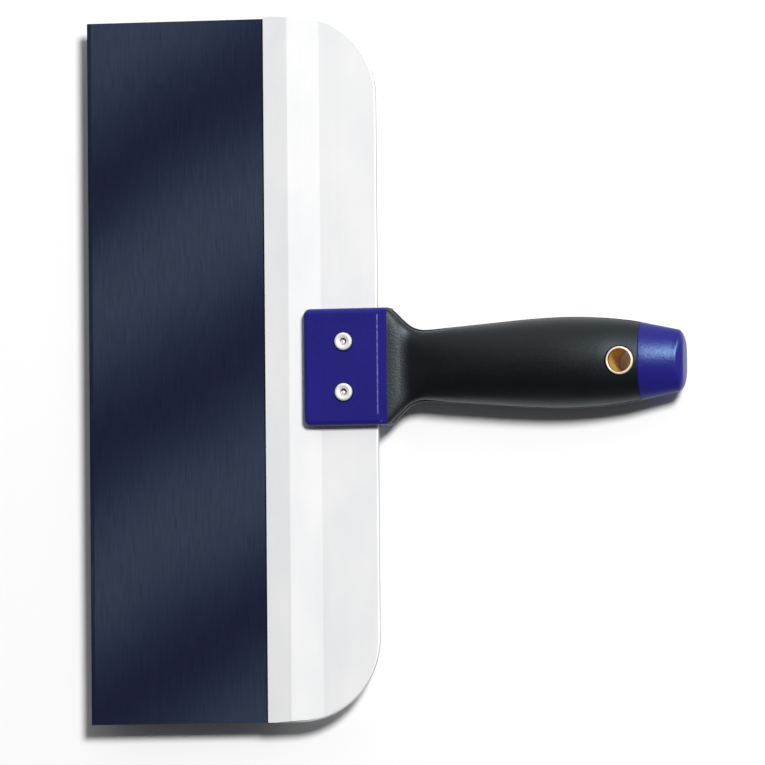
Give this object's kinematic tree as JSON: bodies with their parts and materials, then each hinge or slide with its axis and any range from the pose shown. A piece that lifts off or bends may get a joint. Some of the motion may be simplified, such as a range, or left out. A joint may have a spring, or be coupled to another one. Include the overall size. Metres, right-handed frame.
{
  "type": "drywall taping knife",
  "caption": "Wide blued-steel taping knife with a rounded aluminium backing bar, riveted plastic head and soft-grip handle with a brass hanging eyelet.",
  "frame": {"origin": "bottom centre of the knife's box: below the mid-length of the tool, at the level of the grip's lowest point, with the blade's mid-plane 13 mm above", "axes": "+X from the working edge to the butt, +Y along the blade's length, +Z square to the blade, out of the face that carries the rivet heads"},
  "size_m": [0.264, 0.3048, 0.026],
  "materials": {
    "blued_steel": "dark blued spring steel, brushed along its length",
    "bar_aluminium": "satin extruded aluminium",
    "blue_plastic": "satin-gloss moulded plastic, deep blue",
    "black_grip": "matt black thermoplastic rubber",
    "eyelet_brass": "polished brass",
    "rivet_aluminium": "bright aluminium rivet",
    "bright_steel": "plain steel"
  },
  "bodies": {
    "root": {"blade": "blued_steel", "backing_bar": "bar_aluminium", "handle_core": "blue_plastic", "grip_sleeve": "black_grip", "end_cap": "blue_plastic", "hang_eyelet": "eyelet_brass", "rivet_body_1": "rivet_aluminium", "rivet_body_2": "rivet_aluminium", "rivet_mandrel_1": "bright_steel", "rivet_mandrel_2": "bright_steel", "rivet_washer_1": "bright_steel", "rivet_washer_2": "bright_steel"}
  },
  "joints": []
}
